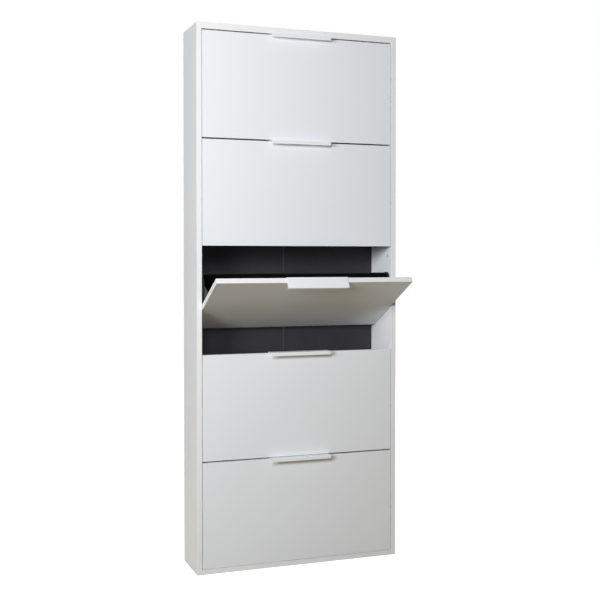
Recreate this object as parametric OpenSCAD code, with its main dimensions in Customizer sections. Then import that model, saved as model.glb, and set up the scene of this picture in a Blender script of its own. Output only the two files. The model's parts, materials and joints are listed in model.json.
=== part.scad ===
// Tall tilt-out shoe cabinet with five inset flaps.
// The origin is the centre of the base on the floor. +X runs to the right seen from the front,
// +Y runs to the wall behind and +Z runs up. Lengths are in millimetres.
// The third flap from the top stands open against its stops, the other four are shut.

/* [Cabinet] */
// Width over both side panels
cabinet_w = 750; // [600:1:1000]
// Depth from the front edges to the wall
cabinet_d = 190; // [170:1:215]
// Height from the floor to the top face
cabinet_h = 1900; // [1750:1:2100]
// Thickness of the side and bottom panels
panel_t = 18; // [16:0.5:22]
// Thickness of the top panel
top_t = 22; // [18:0.5:25]

/* [Back panel] */
// Thickness of the back panel
back_t = 4; // [3:0.5:5]
// How far the back panel lies in from the wall
back_inset = 10; // [8:0.5:12]
// Depth of the groove that holds the back panel
groove_depth = 8; // [6:0.5:9]
// Play left at the bottom of the groove
groove_play = 0.5; // [0.3:0.1:1]
// Thickness of the web of the strip that joins the two halves
strip_web = 1.5; // [1:0.1:2]
// Thickness of the flanges of that strip
strip_flange_t = 1; // [0.8:0.1:1.5]
// Width of the flanges of that strip
strip_flange_w = 6; // [5:0.5:14]

/* [Wall rail] */
// Height of the rail under the top panel that is screwed to the wall
rail_h = 60; // [50:1:70]
// Thickness of the rail
rail_t = 16; // [12:0.5:18]
// Distance between the two wall screws
wall_hole_spacing = 500; // [300:1:560]
// Diameter of the wall screw holes
wall_hole_d = 5.5; // [4.5:0.1:7]

/* [Flaps] */
// Thickness of a flap board
flap_t = 18; // [16:0.5:20]
// Gap between a flap and each side panel
side_gap = 2; // [1.8:0.1:3]
// Gap below a flap
low_gap = 1; // [0.8:0.1:4]
// Gap above a flap, which its handle reaches into
high_gap = 4; // [3.2:0.1:6]
// Room that a flap's lower edge leaves inside the circle that its rack swings in
edge_room = 2; // [1:0.5:8]
// How far a flap tilts out before it meets its stops
open_angle = 62.5; // [58:0.5:65]

/* [Pivots] */
// Diameter of the steel pivot pins
pin_d = 8; // [6:0.5:8]
// Length of a pin inside the flap board
pin_in_board = 30; // [20:1:40]
// Length of a pin inside its bush
pin_in_bush = 10; // [8:0.5:11]
// Radial play of a pin in its bush
pin_play = 0.05; // [0.02:0.01:0.1]
// Outer diameter of a bush
bush_d = 12; // [11:0.5:14]
// Length of a bush inside the side panel
bush_len = 12; // [11.5:0.5:13]
// Diameter of the collar of a bush
collar_d = 18; // [16:0.5:22]
// Thickness of the collar of a bush
collar_t = 1.2; // [0.8:0.1:1.4]

/* [Stops] */
// Diameter of the heads of the stops
stop_d = 8; // [6:0.5:9]
// Diameter of the stems of the stops
stop_stem_d = 5; // [4:0.5:5.5]
// Length of the stems in the side panels
stop_stem = 10; // [8:0.5:12]
// How far the stops of an open flap stand out of the side panels
open_stop_out = 4; // [3.5:0.1:4.5]
// How far the stops of a shut flap stand out of the side panels
shut_stop_out = 5.5; // [4:0.5:12]
// Room between a stop and what it holds
stop_room = 0.3; // [0.2:0.05:0.5]
// Room behind a shut flap's inner face in front of the open stops
open_stop_behind = 5; // [4:0.5:7]
// Distance of a shut flap's stops below the flap's top edge
shut_stop_down = 28; // [20:1:40]
// Distance of the lug that meets an open flap's stop from the cheek's rear edge
lug_in = 9.5; // [8.5:0.5:12]
// Height of that lug
lug_h = 10; // [7:0.5:14]
// Width of that lug
lug_w = 14; // [10:0.5:16]
// Thickness of that lug
lug_t = 3.2; // [2.6:0.1:3.4]

/* [Rack] */
// Thickness of the side cheeks of a rack
cheek_t = 3; // [2.5:0.1:4]
// How far the cheeks lie in from the ends of the flap
cheek_inset = 3; // [2.5:0.1:5]
// Width of the flange that is screwed to the flap
cheek_flange_w = 20; // [16:1:28]
// Distance of a cheek's highest screw below its front corner, and half of the lowest one's above it
cheek_screw_in = 14; // [10:0.5:18]
// Height of the lowest corner of a cheek above the flap's lower edge
cheek_low = 7; // [5:0.5:12]
// Height of a cheek's front corner above the pivot
cheek_front_up = 78; // [68:1:90]
// Slope of the rack floor in degrees
floor_tilt = 20; // [14:0.5:22]
// Thickness of the rack floor
floor_t = 3; // [2.5:0.1:4]
// Thickness of the rack's rear board
rear_t = 3; // [2.5:0.1:4]
// Height of the rear board's top edge above the pivot
rear_up = 44; // [38:0.5:48]
// How far the cheeks rise above the rear board
cheek_over = 4; // [3:0.5:8]
// Thickness of the ribs that hold the floor and the rear board
rib_t = 2.5; // [2:0.1:3.5]
// How far those ribs stand in from the cheeks
rib_in = 8; // [6:0.5:12]
// Radius of the cheeks' rear corners
cheek_r = 10; // [5:0.5:11]
// Room between the swinging rack and the back panel
swing_room = 7; // [5:0.5:10]

/* [Handle] */
// Width of a handle
handle_w = 222; // [120:1:400]
// Thickness of the folded strip
strip_t = 1.5; // [1:0.1:2]
// How far the handle stands out of the flap's face
handle_out = 22; // [16:0.5:30]
// How far the front lip hangs below the flap's top edge
lip_drop = 9.5; // [8:0.5:18]
// How far the rear flange hangs below the flap's top edge
handle_flange = 22; // [18:0.5:26]
// Room left above a handle in the gap over its flap
handle_room = 0.8; // [0.6:0.1:1]
// Inner radius of the folds
fold_in_r = 0.5; // [0.3:0.1:0.8]
// Distance between the two handle screws
handle_screw_spacing = 160; // [60:1:200]

/* [Fixings] */
// Diameter of the screws' shanks
screw_d = 3.5; // [3:0.1:4]
// Length of the screws' shanks
screw_len = 15; // [13:0.5:16]
// Diameter of the screws' heads
head_d = 7; // [6:0.1:8]
// Height of the screws' heads
head_h = 2; // [1.5:0.1:2.5]
// Size across the cross recess in a screw's head
recess_w = 3.6; // [3:0.1:4]
// Diameter of the dowels
dowel_d = 8; // [6:0.5:8]
// Length of a dowel inside a panel's end
dowel_in_end = 20; // [15:0.5:25]
// Length of a dowel inside a side panel
dowel_in_side = 11; // [8:0.5:13]
// Distance of the dowels from the middle of the panel's depth
dowel_off = 55; // [40:0.5:62]
// Distance of the rail's dowels from the middle of the rail
rail_dowel_off = 16; // [10:0.5:18]
// Diameter of the cam locks
cam_d = 15; // [12:0.5:16]
// How far a cam lock reaches past the middle of its panel
cam_past = 4; // [3.5:0.1:4.5]
// Distance of a cam lock's centre from the panel's end
cam_in = 24; // [22:0.5:34]
// Diameter of the cam bolts' shanks
cam_bolt_d = 6; // [5:0.5:6.5]
// Diameter of the cam bolts' threads
cam_thread_d = 5; // [4:0.5:5.5]
// Length of a cam bolt's thread in the side panel
cam_thread = 11; // [8:0.5:13]

/* [Hidden] */

flap_count = 5;
open_flap = 3;          // counted from the top
bite = 0.5;             // overlap of a cutting solid past the face that it opens
round_fn = 48;          // facets of a drawn circle

// Carcass
front_y = -cabinet_d / 2;
rear_y = cabinet_d / 2;
inner_x = cabinet_w / 2 - panel_t;
inner_top = cabinet_h - top_t;
inner_h = inner_top - panel_t;
back_rear_y = rear_y - back_inset;
back_front_y = back_rear_y - back_t;
rail_front_y = back_front_y - rail_t;
rail_bottom = inner_top - rail_h;
rail_mid_z = inner_top - rail_h / 2;
back_tongue = groove_depth - groove_play;

// Flaps, with each flap's own frame at its pivot: y to the rear and z up when it is shut.
// The pivot's height and the rack's depth follow from the widest circle that clears the back panel.
pitch = inner_h / flap_count;
flap_w = 2 * (inner_x - side_gap);
flap_h = pitch - low_gap - high_gap;
pivot_y = front_y + flap_t / 2;
swing_r = back_front_y - pivot_y - swing_room;
pivot_up = swing_r - edge_room;
flap_top = flap_h - pivot_up;
flap_rear = flap_t / 2;

// Rack
slope = tan(floor_tilt);
cheek_low_z = cheek_low - pivot_up;
slope_z0 = cheek_low_z - flap_rear * slope;
rack_rear = (sqrt(pow(swing_r, 2) * (1 + pow(slope, 2)) - pow(slope_z0, 2)) - slope * slope_z0)
    / (1 + pow(slope, 2));
cheek_out = flap_w / 2 - cheek_inset;
cheek_in = cheek_out - cheek_t;
rib_drop = rib_t / cos(floor_tilt);
floor_drop = floor_t / cos(floor_tilt);
rear_board_y = rack_rear - rib_t - rear_t;
cheek_flange_low = cheek_low_z + 3 * rib_t + floor_drop;
cheek_screw_low = cheek_low_z + 2 * cheek_screw_in;
cheek_screw_high = cheek_front_up - cheek_screw_in;
cheek_screw_z = [cheek_screw_low, (cheek_screw_low + cheek_screw_high) / 2, cheek_screw_high];

// Stops. An open flap's stop stands close behind the shut flaps, as high as the lug comes when it is open
open_stop_y = flap_rear + open_stop_behind + stop_d / 2;
lug_y = rack_rear - lug_in;
open_stop_up = (lug_y - open_stop_y * cos(open_angle)) / sin(open_angle);
lug_top = open_stop_up * cos(open_angle) - open_stop_y * sin(open_angle) - stop_d / 2 - stop_room;
shut_stop_y = flap_rear + stop_room + stop_d / 2;
shut_stop_z = flap_top - shut_stop_down;

// Handle
fold_r = fold_in_r + strip_t;
handle_top = flap_top + high_gap - handle_room;

// Height of the pivot of flap n, counted from the top
function pivot_z(n) = panel_t + (flap_count - n) * pitch + low_gap + pivot_up;

// Height of the cheek's lower edge at distance y from the pivot, in the flap's frame
function slope_z(y) = slope_z0 + y * slope;

function unit(v) = v / norm(v);

// Points of a round corner of radius r at b, between a and c
function corner(a, b, c, r, steps = 6) =
    let (
        u = unit(a - b),
        w = unit(c - b),
        half = acos(u * w) / 2,
        middle = b + unit(u + w) * r / sin(half),
        start = b + u * r / tan(half) - middle,
        end = b + w * r / tan(half) - middle,
        from = atan2(start[1], start[0]),
        turn = atan2(end[1], end[0]) - from,
        sweep = turn > 180 ? turn - 360 : turn < -180 ? turn + 360 : turn
    )
    [for (i = [0:steps]) middle + r * [cos(from + sweep * i / steps), sin(from + sweep * i / steps)]];

// An outline from points of the form [y, z, radius], where a radius of 0 leaves a sharp corner
function rounded(points) =
    let (n = len(points))
    [for (i = [0:n - 1])
        let (
            before = points[(i + n - 1) % n],
            here = points[i],
            after = points[(i + 1) % n]
        )
        each here[2] > 0
            ? corner([before[0], before[1]], [here[0], here[1]], [after[0], after[1]], here[2])
            : [[here[0], here[1]]]
    ];

// A plate of thickness w along +X, from an outline in y and z
module yz_plate(w) {
    rotate([90, 0, 90])
        linear_extrude(height = w)
            children();
}

// A cylinder along +X from x = 0
module x_rod(d, len) {
    rotate([0, 90, 0])
        cylinder(h = len, d = d, $fn = round_fn);
}

// Children stand in the flap's own frame
module at_flap(n) {
    translate([0, pivot_y, pivot_z(n)])
        rotate([n == open_flap ? open_angle : 0, 0, 0])
            children();
}

// Children repeat at the upright pivots of all flaps
module at_pivots() {
    for (n = [1:flap_count])
        translate([0, pivot_y, pivot_z(n)])
            children();
}

// Children repeat at the left and right, mirrored
module both_sides() {
    children();
    mirror([1, 0, 0]) children();
}

// Children repeat in the top and the bottom panel, upright and upside down. Both panels are drilled at
// the same distance from their inner faces, which is the middle of the bottom one
module both_ends() {
    translate([0, 0, inner_top + panel_t / 2]) children();
    translate([0, 0, panel_t / 2]) mirror([0, 0, 1]) children();
}

// Dowel places at the right-hand end of a panel
module at_panel_dowels() {
    for (y = [-dowel_off, dowel_off])
        translate([inner_x, y, 0])
            children();
}

// Dowel places at the right-hand end of the wall rail
module at_rail_dowels() {
    for (z = [-rail_dowel_off, rail_dowel_off])
        translate([inner_x, rail_front_y + rail_t / 2, rail_mid_z + z])
            children();
}

module dowel() {
    translate([-dowel_in_end, 0, 0])
        x_rod(dowel_d, dowel_in_end + dowel_in_side);
}

module cam_bolt() {
    translate([-cam_in, 0, 0])
        x_rod(cam_bolt_d, cam_in);
    x_rod(cam_thread_d, cam_thread);
}

// The right side panel, with its groove and all its bores
module side_panel() {
    difference() {
        translate([inner_x, front_y, 0])
            cube([panel_t, cabinet_d, cabinet_h]);
        translate([inner_x - bite, back_front_y, panel_t - groove_depth])
            cube([groove_depth + bite, back_t, inner_h + 2 * groove_depth]);
        at_pivots() {
            translate([inner_x - bite, 0, 0])
                x_rod(bush_d, bush_len + bite);
            translate([inner_x - bite, open_stop_y, open_stop_up])
                x_rod(stop_stem_d, stop_stem + bite);
            translate([inner_x - bite, shut_stop_y, shut_stop_z])
                x_rod(stop_stem_d, stop_stem + bite);
        }
        both_ends() {
            at_panel_dowels() dowel();
            translate([inner_x, 0, 0]) x_rod(cam_thread_d, cam_thread);
        }
        at_rail_dowels() dowel();
    }
}

module side_panel_left() {
    color("whitesmoke") mirror([1, 0, 0]) side_panel();
}

module side_panel_right() {
    color("whitesmoke") side_panel();
}

// A panel between the sides, with its inner face down and its bores at the origin's height
module end_panel(thick) {
    difference() {
        translate([-inner_x, front_y, -panel_t / 2])
            cube([2 * inner_x, cabinet_d, thick]);
        translate([-inner_x - bite, back_front_y, -panel_t / 2 - bite])
            cube([2 * (inner_x + bite), back_t, groove_depth + bite]);
        both_sides() {
            at_panel_dowels() dowel();
            translate([inner_x - cam_in, 0, 0]) x_rod(cam_bolt_d, cam_in + bite);
            translate([inner_x - cam_in, 0, -panel_t / 2 - bite])
                cylinder(h = panel_t / 2 + cam_past + bite, d = cam_d, $fn = round_fn);
        }
    }
}

module top_panel() {
    color("whitesmoke")
        translate([0, 0, inner_top + panel_t / 2])
            end_panel(top_t);
}

module bottom_panel() {
    color("whitesmoke")
        translate([0, 0, panel_t / 2])
            mirror([0, 0, 1])
                end_panel(panel_t);
}

// The right half of the back panel
module back_half() {
    difference() {
        translate([strip_web / 2, back_front_y, panel_t - back_tongue])
            cube([inner_x + back_tongue - strip_web / 2, back_t, inner_h + 2 * back_tongue]);
        translate([wall_hole_spacing / 2, back_front_y - bite, rail_mid_z])
            rotate([-90, 0, 0])
                cylinder(h = back_t + 2 * bite, d = wall_hole_d, $fn = round_fn);
    }
}

module back_panel_left() {
    color("darkslategray") mirror([1, 0, 0]) back_half();
}

module back_panel_right() {
    color("darkslategray") back_half();
}

// The strip of H section that joins the two halves below the wall rail
module back_joint_strip() {
    color("dimgray") {
        translate([-strip_web / 2, back_front_y, panel_t])
            cube([strip_web, back_t, rail_bottom - panel_t]);
        for (y = [back_front_y - strip_flange_t, back_rear_y])
            translate([-strip_flange_w / 2, y, panel_t])
                cube([strip_flange_w, strip_flange_t, rail_bottom - panel_t]);
    }
}

module wall_rail() {
    color("whitesmoke")
        difference() {
            translate([-inner_x, rail_front_y, rail_bottom])
                cube([2 * inner_x, rail_t, rail_h]);
            both_sides() {
                at_rail_dowels() dowel();
                translate([wall_hole_spacing / 2, rail_front_y - bite, rail_mid_z])
                    rotate([-90, 0, 0])
                        cylinder(h = rail_t + 2 * bite, d = wall_hole_d, $fn = round_fn);
            }
        }
}

module dowels() {
    color("burlywood")
        both_sides() {
            both_ends() at_panel_dowels() dowel();
            at_rail_dowels() dowel();
        }
}

// The locks stand in the inner faces of the top and bottom panels and draw the bolts in
module cam_locks() {
    color("silver")
        both_sides()
            both_ends()
                translate([inner_x - cam_in, 0, 0])
                    difference() {
                        translate([0, 0, -panel_t / 2])
                            cylinder(h = panel_t / 2 + cam_past, d = cam_d, $fn = round_fn);
                        x_rod(cam_bolt_d, cam_d);
                        for (turn = [0, 90])
                            rotate([0, 0, turn])
                                translate([-cam_d / 4, -head_h / 4, -panel_t / 2 - bite])
                                    cube([cam_d / 2, head_h / 2, head_h + bite]);
                    }
}

module cam_bolts() {
    color("silver")
        both_sides()
            both_ends()
                translate([inner_x, 0, 0])
                    cam_bolt();
}

// The bushes of the right side panel
module pivot_bushes() {
    at_pivots()
        difference() {
            union() {
                translate([inner_x, 0, 0]) x_rod(bush_d, bush_len);
                translate([inner_x - collar_t, 0, 0]) x_rod(collar_d, collar_t);
            }
            translate([inner_x - collar_t - bite, 0, 0])
                x_rod(pin_d + 2 * pin_play, collar_t + bush_len + 2 * bite);
        }
}

module pivot_bushes_left() {
    color("gainsboro") mirror([1, 0, 0]) pivot_bushes();
}

module pivot_bushes_right() {
    color("gainsboro") pivot_bushes();
}

// A stop with its stem in the right side panel
module stop(out) {
    translate([inner_x - out, 0, 0]) x_rod(stop_d, out);
    translate([inner_x, 0, 0]) x_rod(stop_stem_d, stop_stem);
}

module open_stops() {
    color("gainsboro")
        both_sides()
            at_pivots()
                translate([0, open_stop_y, open_stop_up])
                    stop(open_stop_out);
}

module shut_stops() {
    color("gainsboro")
        both_sides()
            at_pivots()
                translate([0, shut_stop_y, shut_stop_z])
                    stop(shut_stop_out);
}

// Screw places of the right cheek, on the inner face of the flap
module at_cheek_screws() {
    for (z = cheek_screw_z)
        translate([cheek_in - (cheek_flange_w - cheek_t) / 2, flap_rear + cheek_t, z])
            children();
}

// Screw places of the handle's rear flange
module at_handle_screws() {
    for (x = [-handle_screw_spacing / 2, handle_screw_spacing / 2])
        translate([x, flap_rear + strip_t, flap_top - handle_flange / 2])
            children();
}

// A screw's shank, driven forward from the face that its head sits on
module shank() {
    rotate([90, 0, 0])
        cylinder(h = screw_len, d = screw_d, $fn = 24);
}

module screw() {
    shank();
    difference() {
        rotate([-90, 0, 0])
            cylinder(h = head_h, d = head_d, $fn = 32);
        for (turn = [0, 90])
            rotate([0, turn, 0])
                translate([-recess_w / 2, head_h / 2, -recess_w / 8])
                    cube([recess_w, head_h, recess_w / 4]);
    }
}

module flap_board(n) {
    color("white")
        at_flap(n)
            difference() {
                translate([-flap_w / 2, -flap_t / 2, -pivot_up])
                    cube([flap_w, flap_t, flap_h]);
                both_sides() {
                    translate([flap_w / 2 - pin_in_board, 0, 0])
                        x_rod(pin_d, pin_in_board + bite);
                    at_cheek_screws() shank();
                }
                at_handle_screws() shank();
            }
}

// A folded strip over the top edge: rear flange, web and front lip
module flap_handle(n) {
    lip_y = -flap_t / 2 - handle_out;
    color("white")
        at_flap(n)
            difference() {
                translate([-handle_w / 2, 0, 0])
                    yz_plate(handle_w)
                        polygon(rounded([
                            [flap_rear, flap_top - handle_flange, 0],
                            [flap_rear + strip_t, flap_top - handle_flange, 0],
                            [flap_rear + strip_t, handle_top, fold_r],
                            [lip_y, handle_top, fold_r],
                            [lip_y, flap_top - lip_drop, 0],
                            [lip_y + strip_t, flap_top - lip_drop, 0],
                            [lip_y + strip_t, handle_top - strip_t, fold_in_r],
                            [flap_rear, handle_top - strip_t, fold_in_r]
                        ]));
                at_handle_screws() shank();
            }
}

// A straight rib or board that follows the rack floor's slope, between distances y0 and y1
module sloped(w, y0, y1, above, thick) {
    yz_plate(w)
        polygon([
            [y0, slope_z(y0) + above],
            [y1, slope_z(y1) + above],
            [y1, slope_z(y1) + above + thick],
            [y0, slope_z(y0) + above + thick]
        ]);
}

// The right cheek: its plate, the flange on the flap, the ribs that hold the boards, and the lug
module cheek() {
    corner_top = rear_up + cheek_over;
    difference() {
        union() {
            translate([cheek_in, 0, 0])
                yz_plate(cheek_t)
                    polygon(rounded([
                        [flap_rear, cheek_low_z, 0],
                        [rack_rear, slope_z(rack_rear), cheek_r],
                        [rack_rear, corner_top, cheek_r],
                        [(rack_rear + flap_rear) / 2, corner_top, 3 * cheek_r],
                        [flap_rear + cheek_flange_w, cheek_front_up, cheek_r],
                        [flap_rear, cheek_front_up, 0]
                    ]));
            translate([cheek_out - cheek_flange_w, flap_rear, cheek_flange_low])
                cube([cheek_flange_w, cheek_t, cheek_front_up - cheek_flange_low]);
            translate([cheek_in - rib_in, 0, 0]) {
                sloped(rib_in, flap_rear, rear_board_y, 0, rib_drop);
                sloped(rib_in, flap_rear, rear_board_y - rib_t, rib_drop + floor_drop, rib_drop);
                translate([0, rack_rear - rib_t, slope_z(rack_rear) + cheek_r])
                    cube([rib_in, rib_t, rear_up - slope_z(rack_rear) - cheek_r]);
                translate([0, rear_board_y - rib_t, slope_z(rear_board_y) + rib_drop + floor_drop])
                    cube([rib_in, rib_t, rear_up - slope_z(rear_board_y) - rib_drop - floor_drop]);
            }
            translate([cheek_out, lug_y - lug_w / 2, lug_top - lug_h])
                cube([lug_t, lug_w, lug_h]);
        }
        at_cheek_screws() shank();
    }
}

module flap_cheek_left(n) {
    color("black") at_flap(n) mirror([1, 0, 0]) cheek();
}

module flap_cheek_right(n) {
    color("black") at_flap(n) cheek();
}

module flap_rack_floor(n) {
    color("dimgray")
        at_flap(n)
            translate([-cheek_in, 0, 0])
                sloped(2 * cheek_in, flap_rear, rear_board_y, rib_drop, floor_drop);
}

module flap_rack_rear(n) {
    rear_low = slope_z(rear_board_y) + rib_drop;
    color("dimgray")
        at_flap(n)
            translate([-cheek_in, rear_board_y, rear_low])
                cube([2 * cheek_in, rear_t, rear_up - rear_low]);
}

module flap_pivot_pins(n) {
    color("silver")
        at_flap(n)
            both_sides()
                translate([flap_w / 2 - pin_in_board, 0, 0])
                    x_rod(pin_d, pin_in_board + side_gap + pin_in_bush);
}

module flap_screws(n) {
    color("silver")
        at_flap(n) {
            both_sides() at_cheek_screws() screw();
            at_handle_screws() screw();
        }
}

side_panel_left();
side_panel_right();
top_panel();
bottom_panel();
back_panel_left();
back_panel_right();
back_joint_strip();
wall_rail();
dowels();
cam_locks();
cam_bolts();
pivot_bushes_left();
pivot_bushes_right();
open_stops();
shut_stops();
for (n = [1:flap_count]) {
    flap_board(n);
    flap_handle(n);
    flap_cheek_left(n);
    flap_cheek_right(n);
    flap_rack_floor(n);
    flap_rack_rear(n);
    flap_pivot_pins(n);
    flap_screws(n);
}
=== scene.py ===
# %% [markdown]
# # A tilt-out shoe cabinet
#
# This lesson dresses a finished construction. The boards, pivots and racks of the cabinet come in
# as a fixed frame at their real size, in metres, with +Z up and the wall behind at +Y. What is
# added here is what a maker adds last: rounded and banded edges, folded handles, and the finish of
# every surface. Nothing in the frame is moved, so each new piece takes its size from the part that
# it stands for.

# %% The frame
import json
import math

import bmesh
import bpy
from mathutils import Matrix, Vector

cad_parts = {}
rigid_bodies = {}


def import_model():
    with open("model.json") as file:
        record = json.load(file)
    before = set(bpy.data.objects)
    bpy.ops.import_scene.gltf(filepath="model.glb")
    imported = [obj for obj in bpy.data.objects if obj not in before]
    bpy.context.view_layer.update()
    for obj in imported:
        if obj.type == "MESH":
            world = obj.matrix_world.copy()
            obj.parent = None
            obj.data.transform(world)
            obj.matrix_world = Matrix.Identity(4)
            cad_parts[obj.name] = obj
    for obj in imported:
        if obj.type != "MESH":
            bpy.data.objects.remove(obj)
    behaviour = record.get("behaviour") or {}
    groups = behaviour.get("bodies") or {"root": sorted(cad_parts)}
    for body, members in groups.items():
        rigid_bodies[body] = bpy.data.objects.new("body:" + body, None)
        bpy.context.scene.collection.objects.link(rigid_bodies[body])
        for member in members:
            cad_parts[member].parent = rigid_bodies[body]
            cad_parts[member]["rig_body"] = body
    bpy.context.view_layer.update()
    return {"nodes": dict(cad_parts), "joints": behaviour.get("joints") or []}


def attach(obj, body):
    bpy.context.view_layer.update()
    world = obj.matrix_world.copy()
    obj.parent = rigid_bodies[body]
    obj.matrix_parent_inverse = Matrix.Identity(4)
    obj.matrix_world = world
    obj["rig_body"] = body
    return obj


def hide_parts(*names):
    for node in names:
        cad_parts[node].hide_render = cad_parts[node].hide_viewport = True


MM = 0.001
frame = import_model()
NODES = frame["nodes"]
JOINTS = {joint["name"]: joint for joint in frame["joints"]}
print("parts:", len(NODES), "joints:", len(JOINTS))

# %% [markdown]
# ## Camera
#
# The camera stands in front of the cabinet and to its left, a little over three and a half metres
# away and a little above half its height. Upright edges stay upright in the photograph, so the
# camera was held about level and its lens shifted down to take in the whole height. Here a tilt of
# less than a degree does half of that work, because a shift also pushes the cabinet off centre in
# every other view. It costs about a pixel of likeness along the base and the top edge.

# %% Camera
CAMERA_PLACE = (-1.242, -3.497, 1.094)
CAMERA_TURN = 20.07           # degrees to the right of straight ahead
CAMERA_TILT = 0.81            # degrees down
PHOTO_SIZE = 600              # pixels, both ways
FOCAL_PIXELS = 1020.7         # focal length, in pixels of the photograph
AXIS_ROW = 272.0              # row of the photograph that the lens points at

camera_data = bpy.data.cameras.new("camera")
camera_data.lens = camera_data.sensor_width * FOCAL_PIXELS / PHOTO_SIZE
camera_data.shift_y = (AXIS_ROW - PHOTO_SIZE / 2) / PHOTO_SIZE
camera = bpy.data.objects.new("camera", camera_data)
camera.location = CAMERA_PLACE
camera.rotation_euler = (math.radians(90 - CAMERA_TILT), 0, math.radians(-CAMERA_TURN))
bpy.context.scene.collection.objects.link(camera)
bpy.context.scene.camera = camera
print("lens in mm:", round(camera_data.lens, 2), "shift:", round(camera_data.shift_y, 4))

# %% [markdown]
# ## Colour, nodes and materials
#
# Colours are written as the sRGB hex codes that a paint chart gives, and one function turns them
# into the linear values that a shader wants. A second function adds a node with its settings and
# fills its sockets, either with values or with the outputs of other nodes. A third one makes a
# material. It hands over the Object coordinates, which are metres on the real piece, so that a
# pattern's scale can be worked out from a size in millimetres.


# %% Colour, nodes and materials
MIX_A, MIX_B, MIXED = 6, 7, 2     # the colour sockets of a Mix node


def linear(code):
    """The linear colour of an sRGB hex code, with full alpha."""
    channels = [int(code[i:i + 2], 16) / 255 for i in (1, 3, 5)]
    return [c / 12.92 if c <= 0.04045 else ((c + 0.055) / 1.055) ** 2.4 for c in channels] + [1.0]


def add(tree, kind, sockets=None, **settings):
    """A new node with its settings, whose sockets take values or other nodes' outputs."""
    made = tree.nodes.new(kind)
    for name, value in settings.items():
        setattr(made, name, value)
    for socket, value in (sockets or {}).items():
        if isinstance(value, bpy.types.NodeSocket):
            tree.links.new(value, made.inputs[socket])
        else:
            made.inputs[socket].default_value = value
    return made


def empty_tree(holder):
    """The cleared node tree of a material or a world."""
    holder.use_nodes = True
    holder.node_tree.nodes.clear()
    return holder.node_tree


def material(name, surface, *details):
    """A material whose surface function gets the tree and Object coordinates and returns the
    shader's sockets."""
    made = bpy.data.materials.new(name)
    tree = empty_tree(made)
    place = add(tree, "ShaderNodeTexCoord").outputs["Object"]
    shader = add(tree, "ShaderNodeBsdfPrincipled", surface(tree, place, *details))
    add(tree, "ShaderNodeOutputMaterial", {"Surface": shader.outputs["BSDF"]})
    print("material:", name, "with", len(tree.nodes), "nodes")
    return made


def every(size):
    """The scale at which a texture's features are about this many millimetres wide."""
    return 1 / (size * MM)


# %% [markdown]
# ## White melamine board
#
# The carcass and the flaps are chipboard faced with melamine paper, pressed against a steel plate
# that leaves a fine pearl in the surface. The eye gets a clean, slightly cool white with a broad,
# soft sheen. The pearl is really under a millimetre wide and is drawn at three, because anything
# finer is lost at this distance. Two whites a shade apart drift over the board, as the paper under
# the resin does.


# %% White melamine board
def melamine(tree, place, light, shade):
    drift = add(tree, "ShaderNodeTexNoise", {"Vector": place, "Scale": every(260), "Detail": 1.0})
    pearl = add(tree, "ShaderNodeTexNoise", {"Vector": place, "Scale": every(3), "Detail": 2.0})
    tone = add(tree, "ShaderNodeMix", {
        0: drift.outputs["Fac"], MIX_A: linear(light), MIX_B: linear(shade),
    }, data_type="RGBA")
    gloss = add(tree, "ShaderNodeMapRange", {
        "Value": pearl.outputs["Fac"], "To Min": 0.42, "To Max": 0.54,
    })
    relief = add(tree, "ShaderNodeBump", {
        "Height": pearl.outputs["Fac"], "Strength": 0.3, "Distance": 0.05 * MM,
    })
    return {
        "Base Color": tone.outputs[MIXED], "Roughness": gloss.outputs["Result"],
        "Normal": relief.outputs["Normal"], "IOR": 1.5, "Specular IOR Level": 0.2,
    }


CARCASS_WHITE = material("melamine_carcass_white", melamine, "#EEF1F6", "#EBEEF3")
FLAP_WHITE = material("melamine_flap_white", melamine, "#EEF2F8", "#EBEFF5")

# %% [markdown]
# ## Edge banding
#
# The narrow sides that show are covered with a strip of ABS, glued on and milled flush. It is
# extruded plastic, so it is smoother than the faces and a touch brighter, and the cutter leaves
# faint marks along it.


# %% Edge banding
def banding(tree, place, light, shade):
    marks = add(tree, "ShaderNodeTexNoise", {"Vector": place, "Scale": every(9), "Detail": 1.0})
    tone = add(tree, "ShaderNodeMix", {
        0: marks.outputs["Fac"], MIX_A: linear(light), MIX_B: linear(shade),
    }, data_type="RGBA")
    gloss = add(tree, "ShaderNodeMapRange", {
        "Value": marks.outputs["Fac"], "To Min": 0.32, "To Max": 0.42,
    })
    return {
        "Base Color": tone.outputs[MIXED], "Roughness": gloss.outputs["Result"],
        "IOR": 1.53, "Specular IOR Level": 0.3,
    }


EDGE_WHITE = material("abs_edge_white", banding, "#F2F4F7", "#EEF0F3")

# %% [markdown]
# ## Bare chipboard
#
# Where nobody looks, on the rear of the carcass, under its feet and inside its bores, the sawn
# board is left bare. Pressed chips of two to four millimetres show there, straw coloured to brown,
# with small open pores between them. A Voronoi pattern gives each chip a tone of its own.


# %% Bare chipboard
def chipboard(tree, place, dark, middle, light):
    chips = add(tree, "ShaderNodeTexVoronoi", {"Vector": place, "Scale": every(3.5)})
    grains = add(tree, "ShaderNodeTexNoise", {"Vector": place, "Scale": every(1.5), "Detail": 3.0})
    apart = add(tree, "ShaderNodeSeparateColor", {"Color": chips.outputs["Color"]})
    low_tone = add(tree, "ShaderNodeMix", {
        0: apart.outputs["Red"], MIX_A: linear(dark), MIX_B: linear(middle),
    }, data_type="RGBA")
    tone = add(tree, "ShaderNodeMix", {
        0: grains.outputs["Fac"], MIX_A: low_tone.outputs[MIXED], MIX_B: linear(light),
    }, data_type="RGBA")
    relief = add(tree, "ShaderNodeBump", {
        "Height": grains.outputs["Fac"], "Strength": 0.7, "Distance": 0.3 * MM,
    })
    return {
        "Base Color": tone.outputs[MIXED], "Roughness": 0.85, "Normal": relief.outputs["Normal"],
    }


BARE_BOARD = material("bare_chipboard", chipboard, "#8E6D45", "#C2A273", "#DCC59C")

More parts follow.
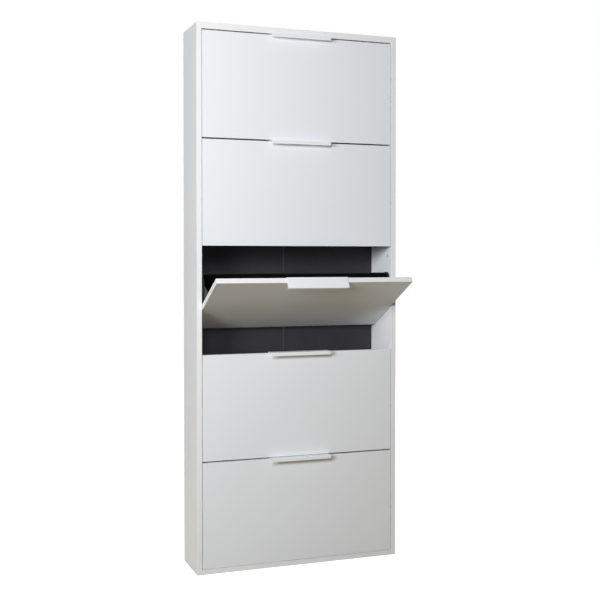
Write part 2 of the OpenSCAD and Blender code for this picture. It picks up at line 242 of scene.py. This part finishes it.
# %% [markdown]
# ## Hardboard
#
# The back is thin hardboard. Its front is printed charcoal and lacquered, so it is dark and nearly
# smooth, with a broken, cloudy print. Its rear is the raw pressed fibre, brown, with the woven
# mesh of the press left in it. The mesh is really about two millimetres wide and is drawn at
# twelve, and deeper, because anything finer is lost at this distance.


# %% Hardboard
ONE_BAND = math.tau / 20      # the scale at which a Wave texture has one band to the metre


def printed_hardboard(tree, place, dark, light):
    cloud = add(tree, "ShaderNodeTexNoise", {"Vector": place, "Scale": every(60), "Detail": 4.0})
    grit = add(tree, "ShaderNodeTexNoise", {"Vector": place, "Scale": every(2.5), "Detail": 2.0})
    tone = add(tree, "ShaderNodeMix", {
        0: cloud.outputs["Fac"], MIX_A: linear(dark), MIX_B: linear(light),
    }, data_type="RGBA")
    gloss = add(tree, "ShaderNodeMapRange", {
        "Value": grit.outputs["Fac"], "To Min": 0.5, "To Max": 0.68,
    })
    relief = add(tree, "ShaderNodeBump", {
        "Height": grit.outputs["Fac"], "Strength": 0.3, "Distance": 0.08 * MM,
    })
    return {
        "Base Color": tone.outputs[MIXED], "Roughness": gloss.outputs["Result"],
        "Normal": relief.outputs["Normal"], "IOR": 1.48, "Specular IOR Level": 0.25,
    }


def raw_hardboard(tree, place, dark, light):
    fibre = add(tree, "ShaderNodeTexNoise", {"Vector": place, "Scale": every(8), "Detail": 6.0})
    bands = ONE_BAND * every(12)
    mesh_x = add(tree, "ShaderNodeTexWave", {"Vector": place, "Scale": bands})
    mesh_z = add(tree, "ShaderNodeTexWave", {
        "Vector": place, "Scale": bands,
    }, bands_direction="Z")
    weave = add(tree, "ShaderNodeMath", {
        0: mesh_x.outputs["Fac"], 1: mesh_z.outputs["Fac"],
    }, operation="MULTIPLY")
    tone = add(tree, "ShaderNodeMix", {
        0: fibre.outputs["Fac"], MIX_A: linear(dark), MIX_B: linear(light),
    }, data_type="RGBA")
    relief = add(tree, "ShaderNodeBump", {
        "Height": weave.outputs["Value"], "Strength": 0.8, "Distance": 0.7 * MM,
    })
    return {
        "Base Color": tone.outputs[MIXED], "Roughness": 0.78, "Normal": relief.outputs["Normal"],
    }


CHARCOAL_FACE = material("hardboard_printed_charcoal", printed_hardboard, "#302F34", "#3A393F")
RAW_FACE = material("hardboard_raw_brown", raw_hardboard, "#6E4A2C", "#97704A")

# %% [markdown]
# ## Plastics
#
# Four plastics are moulded or extruded for this cabinet, and all of them share one recipe: an even
# colour, a satin gloss that wanders a little, and a grain etched into the mould. What sets them
# apart is the colour, the gloss and how coarse the grain is. The racks' black is the darkest thing
# in the picture, and its grain keeps it from shining.


# %% Plastics
def plastic(tree, place, dark, light, grain, gloss_low, gloss_high):
    etched = add(tree, "ShaderNodeTexNoise", {"Vector": place, "Scale": every(grain), "Detail": 2.0})
    tone = add(tree, "ShaderNodeMix", {
        0: etched.outputs["Fac"], MIX_A: linear(dark), MIX_B: linear(light),
    }, data_type="RGBA")
    gloss = add(tree, "ShaderNodeMapRange", {
        "Value": etched.outputs["Fac"], "To Min": gloss_low, "To Max": gloss_high,
    })
    relief = add(tree, "ShaderNodeBump", {
        "Height": etched.outputs["Fac"], "Strength": 0.4, "Distance": 0.1 * MM,
    })
    return {
        "Base Color": tone.outputs[MIXED], "Roughness": gloss.outputs["Result"],
        "Normal": relief.outputs["Normal"], "IOR": 1.53, "Specular IOR Level": 0.3,
    }


# Two shades, the width of the grain in millimetres, and the lowest and highest roughness
RACK_MOULDING = material("abs_moulded_black", plastic, "#0B0B0C", "#121213", 1.2, 0.5, 0.62)
RACK_SHEET = material("polystyrene_sheet_black", plastic, "#101011", "#18181A", 2.0, 0.55, 0.7)
JOINT_GREY = material("pvc_strip_grey", plastic, "#3A3A3D", "#404043", 4.0, 0.38, 0.46)
# This grey is painted shade: the nylon is set darker than white, to the brightness of the shaded inner
# wall beside the stops, so that the lit stops don't stand out as bright dots. The pivot bushes share
# it.
SHADE_MATCHED_NYLON = material("nylon_grey_painted_shade", plastic, "#B4B7BA", "#BEC1C4", 1.0, 0.45, 0.55)

# %% [markdown]
# ## Powder coat
#
# The handles are folded from sheet steel and powder coated. The powder melts into a skin with
# shallow waves two or three millimetres across, called orange peel, and it pulls back a little
# from sharp edges. It is the glossiest white on the cabinet, so the folds catch the light.


# %% Powder coat
def powder_coat(tree, place, light, shade):
    peel = add(tree, "ShaderNodeTexNoise", {"Vector": place, "Scale": every(2.5), "Detail": 1.0})
    tone = add(tree, "ShaderNodeMix", {
        0: peel.outputs["Fac"], MIX_A: linear(light), MIX_B: linear(shade),
    }, data_type="RGBA")
    gloss = add(tree, "ShaderNodeMapRange", {
        "Value": peel.outputs["Fac"], "To Min": 0.26, "To Max": 0.36,
    })
    relief = add(tree, "ShaderNodeBump", {
        "Height": peel.outputs["Fac"], "Strength": 0.25, "Distance": 0.08 * MM,
    })
    return {
        "Base Color": tone.outputs[MIXED], "Roughness": gloss.outputs["Result"],
        "Normal": relief.outputs["Normal"], "IOR": 1.5,
    }


HANDLE_WHITE = material("powder_coat_white", powder_coat, "#F0F3F7", "#ECEFF3")

# %% [markdown]
# ## Metals and beech
#
# Screws, pins and cam bolts are steel with a thin bright coat of zinc, a little uneven in gloss.
# The cam locks are cast in zinc, greyer and rougher, with the faint dimples of the mould. The
# dowels are beech: pale, slightly pink wood with fine dark flecks along the grain, which runs
# along the dowel.


# %% Metals and beech
DRAWN_OUT = (0.12, 1.0, 1.0)  # the dowels lie in X, and so does the grain, eight times as long as wide


def metal(tree, place, dark, light, grain, gloss_low, gloss_high, depth):
    skin = add(tree, "ShaderNodeTexNoise", {"Vector": place, "Scale": every(grain), "Detail": 3.0})
    tone = add(tree, "ShaderNodeMix", {
        0: skin.outputs["Fac"], MIX_A: linear(dark), MIX_B: linear(light),
    }, data_type="RGBA")
    gloss = add(tree, "ShaderNodeMapRange", {
        "Value": skin.outputs["Fac"], "To Min": gloss_low, "To Max": gloss_high,
    })
    relief = add(tree, "ShaderNodeBump", {
        "Height": skin.outputs["Fac"], "Strength": 0.4, "Distance": depth * MM,
    })
    return {
        "Base Color": tone.outputs[MIXED], "Metallic": 1.0, "Roughness": gloss.outputs["Result"],
        "Normal": relief.outputs["Normal"],
    }


def beech(tree, place, pale, warm, fleck):
    along = add(tree, "ShaderNodeMapping", {"Vector": place, "Scale": DRAWN_OUT})
    grain = add(tree, "ShaderNodeTexNoise", {
        "Vector": along.outputs["Vector"], "Scale": every(2.5), "Detail": 3.0,
    })
    flecks = add(tree, "ShaderNodeTexVoronoi", {
        "Vector": along.outputs["Vector"], "Scale": every(0.8),
    })
    wood = add(tree, "ShaderNodeMix", {
        0: grain.outputs["Fac"], MIX_A: linear(pale), MIX_B: linear(warm),
    }, data_type="RGBA")
    near = add(tree, "ShaderNodeMapRange", {
        "Value": flecks.outputs["Distance"], "From Max": 0.2, "To Min": 0.6, "To Max": 0.0,
    })
    tone = add(tree, "ShaderNodeMix", {
        0: near.outputs["Result"], MIX_A: wood.outputs[MIXED], MIX_B: linear(fleck),
    }, data_type="RGBA")
    return {"Base Color": tone.outputs[MIXED], "Roughness": 0.65}


# Two shades, the width of the dimples in millimetres, two roughnesses and the depth of the dimples
PLATED_STEEL = material("steel_zinc_plated", metal, "#B4B7BA", "#C9CCCE", 1.5, 0.24, 0.36, 0.02)
CAST_ZINC = material("zinc_die_cast", metal, "#9C9EA0", "#AEB0B1", 0.8, 0.42, 0.56, 0.08)
DOWEL_BEECH = material("beech_raw", beech, "#DDBE94", "#CFA97C", "#9A7450")

# %% [markdown]
# ## From the frame to a finished piece
#
# A part of the frame is a heap of loose triangles. A copy of it is welded, and the triangles that
# lie in one plane are joined into whole faces again, so that an edge of the mesh is an edge of the
# real piece. Then the piece can be worked on like anything else. The last helper names it, lets it
# ride on the part's own body and says which part it stands for.

# %% Helpers
NEAR = 0.02 * MM              # closer than this, two points of a part are one
FLAT = math.radians(0.5)      # faces that differ by less lie in one plane
SHARP = math.radians(40)      # edges that turn by more are rounded


def welded(node_name, frame_of=Matrix()):
    """A copy of a part in a frame of its own, with whole faces in place of loose triangles."""
    mesh = bmesh.new()
    mesh.from_mesh(NODES[node_name].data)
    bmesh.ops.transform(mesh, matrix=frame_of.inverted(), verts=mesh.verts)
    bmesh.ops.remove_doubles(mesh, verts=mesh.verts, dist=NEAR)
    bmesh.ops.dissolve_limit(mesh, angle_limit=FLAT, verts=mesh.verts, edges=mesh.edges)
    for face in mesh.faces:
        face.smooth = False
    return mesh


def corners(mesh):
    """The low and high corner of a mesh."""
    low = Vector(min(vertex.co[axis] for vertex in mesh.verts) for axis in range(3))
    high = Vector(max(vertex.co[axis] for vertex in mesh.verts) for axis in range(3))
    return low, high


def rounded(mesh, edges, radius, segments=2):
    """Rounds edges by a radius. New faces take the material of their neighbours."""
    bmesh.ops.bevel(
        mesh, geom=edges, offset=radius, offset_type="OFFSET", affect="EDGES", segments=segments,
        profile=0.5, material=-1, clamp_overlap=True,
    )


def finished(node_name, mesh, materials, frame_of=Matrix()):
    """Puts a mesh in place as the piece that stands for a part."""
    bmesh.ops.transform(mesh, matrix=frame_of, verts=mesh.verts)
    data = bpy.data.meshes.new(node_name + "_shown")
    mesh.to_mesh(data)
    mesh.free()
    # The normals that a part brings along belong to its loose triangles.
    if "custom_normal" in data.attributes:
        data.attributes.remove(data.attributes["custom_normal"])
    for made in materials:
        data.materials.append(made)
    piece = bpy.data.objects.new(data.name, data)
    bpy.context.scene.collection.objects.link(piece)
    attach(piece, NODES[node_name]["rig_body"])
    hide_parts(node_name)
    return piece


# %% [markdown]
# ## The flaps' own frames
#
# Each flap turns about its pivot, and the third one is open at rest. Its pieces are easier to make
# as if it were shut, so each flap gets a frame of its own: the place of its hinge, turned by as
# much as the flap is open. The hinge's range says how far it can still close, which is that angle.


# %% The flaps' own frames
def flap_frame(number):
    """The frame of a flap at its pivot, in which it stands upright."""
    hinge = JOINTS[f"flap_{number}_tilt"]
    open_by = -math.radians(hinge["range_deg"][0])
    return Matrix.Translation(hinge["pos_m"]) @ Matrix.Rotation(open_by, 4, hinge["axis"])


FLAPS = range(1, len(JOINTS) + 1)
FRAME_OF = {
    name: flap_frame(number)
    for number in FLAPS
    for name in NODES
    if name.startswith(f"flap_{number}_")
}
for number in FLAPS:
    opened = flap_frame(number).to_euler().x
    print("flap", number, "is open by", round(math.degrees(opened)), "degrees")

# %% [markdown]
# ## Boards
#
# A board is never razor-edged: the banding is rounded over by about half a millimetre, and where
# two boards meet, the two round edges leave a fine line. The outer edges of a board are those that
# lie on two sides of its box at once. Its broad faces get the melamine and its narrow sides the
# banding, and the chips show on the sides named bare and in every bore and groove.

# %% Boards
SIDES = {"-x": (0, 0), "+x": (0, 1), "-y": (1, 0), "+y": (1, 1), "-z": (2, 0), "+z": (2, 1)}
FACE, BAND, CHIPS = range(3)
BOARD_ROUND = 0.6 * MM


def dress_board(mesh, bare):
    """Gives a board's faces their materials and rounds its outer edges."""
    box = corners(mesh)
    size = box[1] - box[0]
    thin = list(size).index(min(size))
    for face in mesh.faces:
        middle = face.calc_center_median()
        face.material_index = CHIPS
        for side, (axis, end) in SIDES.items():
            if abs(middle[axis] - box[end][axis]) < NEAR and side not in bare:
                face.material_index = FACE if axis == thin else BAND
    outer = []
    for edge in mesh.edges:
        middle = (edge.verts[0].co + edge.verts[1].co) / 2
        on_sides = sum(abs(middle[axis] - box[end][axis]) < NEAR for axis, end in SIDES.values())
        if on_sides >= 2:
            outer.append(edge)
    rounded(mesh, outer, BOARD_ROUND)
    return len(outer)


# %% [markdown]
# ### The carcass
#
# The two sides run the full height, and the top and bottom stand between them. Their rear edges
# are bare, and so are the feet of the sides and the ends that butt against them. The rail behind
# the top flap, through which the cabinet is screwed to the wall, is a fifth board of the same kind.

# %% The carcass
CARCASS_BOARDS = {
    "side_panel_left": ("-z", "+y"),
    "side_panel_right": ("-z", "+y"),
    "top_panel": ("+y", "-x", "+x"),
    "bottom_panel": ("+y", "-x", "+x"),
    "wall_rail": ("+z", "-x", "+x"),
}
for name, bare in CARCASS_BOARDS.items():
    board = welded(name)
    edges = dress_board(board, bare)
    finished(name, board, [CARCASS_WHITE, EDGE_WHITE, BARE_BOARD])
    print(name, "has", edges, "outer edges rounded")

# %% [markdown]
# ### The flap boards
#
# All four narrow sides of a flap can be seen when it is open, so all of them are banded.

# %% The flap boards
for number in FLAPS:
    name = f"flap_{number}_board"
    board = welded(name, FRAME_OF[name])
    dress_board(board, ())
    finished(name, board, [FLAP_WHITE, EDGE_WHITE, BARE_BOARD], FRAME_OF[name])
print("flap boards:", len(FLAPS))

# %% [markdown]
# ### The back
#
# The two halves of the back are cut from the same sheet, printed on the side that faces the racks.
# The faces that look forward get the print and all others the raw fibre.

# %% The back
PRINTED, RAW = range(2)
FORWARD = -0.5                # a face looks forward if its normal has less than this in Y
for name in ("back_panel_left", "back_panel_right"):
    sheet = welded(name)
    for face in sheet.faces:
        face.material_index = PRINTED if face.normal.y < FORWARD else RAW
    piece = finished(name, sheet, [CHARCOAL_FACE, RAW_FACE])
    print(name, "has", len(piece.data.polygons), "faces")

# %% [markdown]
# ## Folded handles
#
# A handle is one strip of sheet steel, folded twice over the flap's top edge: a flange behind, a
# flat top, and a lip in front that the fingers pull. It is made the way a press brake makes it.
# Four points give the outer line, the line is drawn out to the handle's width, the two folds are
# rounded, and only then does the sheet get its thickness.

# %% Folded handles
STRIP = 1.5 * MM              # thickness of the sheet
FOLD_ROUND = 2 * MM           # outer radius of the folds
CORNER_ROUND = 2 * MM         # radius of the strip's four corners
RIM_ROUND = 0.3 * MM          # where the powder flows round the cut edges
FOLD_STEPS = 6                # faces round a fold
CORNER_STEPS = 4              # faces round a corner


def folded_strip(low, high, lip_end):
    """The handle's sheet between two corners: flange, top, and a lip that ends at a height."""
    mesh = bmesh.new()
    line = [
        mesh.verts.new((low.x, high.y, low.z)),
        mesh.verts.new((low.x, high.y, high.z)),
        mesh.verts.new((low.x, low.y, high.z)),
        mesh.verts.new((low.x, low.y, lip_end)),
    ]
    edges = [mesh.edges.new(pair) for pair in zip(line, line[1:])]
    drawn = bmesh.ops.extrude_edge_only(mesh, edges=edges)["geom"]
    moved = [item for item in drawn if isinstance(item, bmesh.types.BMVert)]
    bmesh.ops.translate(mesh, vec=(high.x - low.x, 0, 0), verts=moved)
    bmesh.ops.recalc_face_normals(mesh, faces=mesh.faces)
    if min(mesh.faces, key=lambda face: face.calc_center_median().y).normal.y > 0:
        bmesh.ops.reverse_faces(mesh, faces=mesh.faces)
    free = [vertex for vertex in mesh.verts if vertex.co.z < high.z - FOLD_ROUND]
    bmesh.ops.bevel(
        mesh, geom=free, offset=CORNER_ROUND, affect="VERTICES", segments=CORNER_STEPS, profile=0.5,
        material=-1,
    )
    folds = [edge for edge in mesh.edges if len(edge.link_faces) == 2]
    rounded(mesh, folds, FOLD_ROUND, FOLD_STEPS)
    bmesh.ops.solidify(mesh, geom=mesh.faces[:], thickness=STRIP)
    bmesh.ops.recalc_face_normals(mesh, faces=mesh.faces)
    rim = [edge for edge in mesh.edges if edge.calc_face_angle(0) > SHARP]
    rounded(mesh, rim, RIM_ROUND)
    return mesh


for number in FLAPS:
    name = f"flap_{number}_handle"
    part = welded(name, FRAME_OF[name])
    wanted_low, wanted_high = corners(part)
    lip_end = min(vertex.co.z for vertex in part.verts if vertex.co.y < wanted_low.y + STRIP)
    part.free()
    strip = folded_strip(wanted_low, wanted_high, lip_end)
    low, high = corners(strip)
    finished(name, strip, [HANDLE_WHITE], FRAME_OF[name])
    off = max((low - wanted_low).length, (high - wanted_high).length)
    print(name, "is off its part by", round(off / MM, 3), "mm")

# %% [markdown]
# ## Racks, fittings and fixings
#
# The rest are mouldings, turned pins and pressed fittings. Their shape is already right in the
# frame, and a moulder or a toolmaker would only take the edges off. So one loop welds each part,
# rounds its sharp edges by the radius that such a piece has, and gives it its finish.

# %% Racks, fittings and fixings
FITTINGS = {
    "cheek_left": (RACK_MOULDING, 0.5 * MM),
    "cheek_right": (RACK_MOULDING, 0.5 * MM),
    "rack_floor": (RACK_SHEET, 0.4 * MM),
    "rack_rear": (RACK_SHEET, 0.4 * MM),
    "pivot_pins": (PLATED_STEEL, 0.6 * MM),
    "screws": (PLATED_STEEL, 0.3 * MM),
    "back_joint_strip": (JOINT_GREY, 0.3 * MM),
    "dowels": (DOWEL_BEECH, 0.8 * MM),
    "cam_locks": (CAST_ZINC, 0.3 * MM),
    "cam_bolts": (PLATED_STEEL, 0.3 * MM),
    "pivot_bushes_left": (SHADE_MATCHED_NYLON, 0.2 * MM),
    "pivot_bushes_right": (SHADE_MATCHED_NYLON, 0.2 * MM),
    # The stops' grey nylon carries painted shade, matched to the shaded inner wall around them.
    "open_stops": (SHADE_MATCHED_NYLON, 0.8 * MM),
    "shut_stops": (SHADE_MATCHED_NYLON, 0.8 * MM),
}
for name in sorted(NODES):
    kind = next((kind for kind in FITTINGS if name == kind or name.endswith("_" + kind)), None)
    if kind is None:
        continue
    finish, radius = FITTINGS[kind]
    own = FRAME_OF.get(name, Matrix())
    mesh = welded(name, own)
    sharp = [edge for edge in mesh.edges if edge.calc_face_angle(0) > SHARP]
    rounded(mesh, sharp, radius)
    piece = finished(name, mesh, [finish], own)
    print(name, "has", len(sharp), "edges rounded and", len(piece.data.polygons), "faces")

# %% [markdown]
# ## Studio
#
# The studio is a white room with a pale floor and three soft lamps. A room that is white for every
# ray would fill the open compartment and the undersides with light, and they are dark in the
# photograph. So it is only white for the camera and for rays that come by way of gloss or glass,
# and nearly dark for diffuse light. Light Path tells the two kinds apart.

# %% Room
AMBIENT = 0.03                # brightness of the room for diffuse light


def seen_directly(tree):
    """1 for rays from the camera or by way of gloss or glass, and 0 for diffuse light."""
    ray = add(tree, "ShaderNodeLightPath")
    either = add(tree, "ShaderNodeMath", {
        0: ray.outputs["Is Camera Ray"], 1: ray.outputs["Is Glossy Ray"],
    }, operation="MAXIMUM")
    return add(tree, "ShaderNodeMath", {
        0: either.outputs["Value"], 1: ray.outputs["Is Transmission Ray"],
    }, operation="MAXIMUM").outputs["Value"]


world = bpy.data.worlds.new("studio")
bpy.context.scene.world = world
tree = empty_tree(world)
strength = add(tree, "ShaderNodeMapRange", {
    "Value": seen_directly(tree), "To Min": AMBIENT, "To Max": 1.0,
})
sky = add(tree, "ShaderNodeBackground", {
    "Color": linear("#FFFFFF"), "Strength": strength.outputs["Result"],
})
add(tree, "ShaderNodeOutputWorld", {"Surface": sky.outputs["Background"]})
print("room:", len(tree.nodes), "nodes")

# %% [markdown]
# ### Floor
#
# What the camera sees of the floor is a glow that is just short of white near the cabinet, with
# plain diffuse light on top, and that part carries the shadow. The light that the floor throws back
# up is that of an olive brown one, which gives the undersides their warm, dark tone.

# %% Floor
FLOOR_SIZE = 30.0             # metres to each side
FLOOR_BROWN = "#8A7A53"
FLOOR_GLOW = 0.85             # brightness near the cabinet that shadows don't reach
GLOW_FROM = 1.0               # metres from the cabinet where the glow starts to rise
GLOW_FULL_AT = 6.0            # metres from the cabinet where the glow is white

floor_finish = bpy.data.materials.new("studio_floor")
tree = empty_tree(floor_finish)
brown = add(tree, "ShaderNodeBsdfDiffuse", {"Color": linear(FLOOR_BROWN)})
pale = add(tree, "ShaderNodeBsdfDiffuse", {"Color": linear("#FFFFFF")})
away = add(tree, "ShaderNodeVectorMath", {
    0: add(tree, "ShaderNodeTexCoord").outputs["Object"],
}, operation="LENGTH")
level = add(tree, "ShaderNodeMapRange", {
    "Value": away.outputs["Value"], "From Min": GLOW_FROM, "From Max": GLOW_FULL_AT,
    "To Min": FLOOR_GLOW,
})
glow = add(tree, "ShaderNodeEmission", {"Strength": level.outputs["Result"]})
white = add(tree, "ShaderNodeAddShader", {0: pale.outputs["BSDF"], 1: glow.outputs["Emission"]})
both = add(tree, "ShaderNodeMixShader", {
    0: seen_directly(tree), 1: brown.outputs["BSDF"], 2: white.outputs["Shader"],
})
add(tree, "ShaderNodeOutputMaterial", {"Surface": both.outputs["Shader"]})

ground = bmesh.new()
bmesh.ops.create_grid(ground, x_segments=1, y_segments=1, size=FLOOR_SIZE)
ground_data = bpy.data.meshes.new("floor")
ground.to_mesh(ground_data)
ground.free()
ground_data.materials.append(floor_finish)
floor = bpy.data.objects.new("floor", ground_data)
bpy.context.scene.collection.objects.link(floor)
print("floor:", 2 * max(vertex.co.x for vertex in ground_data.vertices), "m across")

# %% [markdown]
# ### Lamps
#
# The front lamp is small and near, so its light falls off towards the far lower corner and draws a
# crisp line under each handle. The corner lamp is larger and further to the left, and lights the
# flaps and the left side about alike. The rear lamp is for whoever walks round the cabinet: it
# hangs high behind the right corner and lights the back, the right side and the top, none of which
# the camera sees. One big lamp would be simpler, but it would leave either the side or the lower
# flaps too dark.

# %% Lamps
LAMPS = {                     # place, metres across, watts
    "front": (Vector((-1.0, -2.2, 2.0)), 0.8, 26.7),
    "corner": (Vector((-3.2, -2.7, 1.7)), 1.4, 107.0),
    "rear": (Vector((2.4, 2.4, 3.4)), 1.4, 125.0),
}
LAMP_AIM = Vector((0, 0, 1.0))

for name, (place, across, watts) in LAMPS.items():
    lamp_data = bpy.data.lights.new(name, "AREA")
    lamp_data.shape = "DISK"
    lamp_data.size = across
    lamp_data.energy = watts
    lamp = bpy.data.objects.new(name, lamp_data)
    lamp.location = place
    lamp.rotation_euler = (LAMP_AIM - place).to_track_quat("-Z", "Y").to_euler()
    bpy.context.scene.collection.objects.link(lamp)
    print(name, "lamp is", round((LAMP_AIM - place).length, 2), "m from the cabinet")
bpy.context.scene.view_settings.view_transform = "Standard"
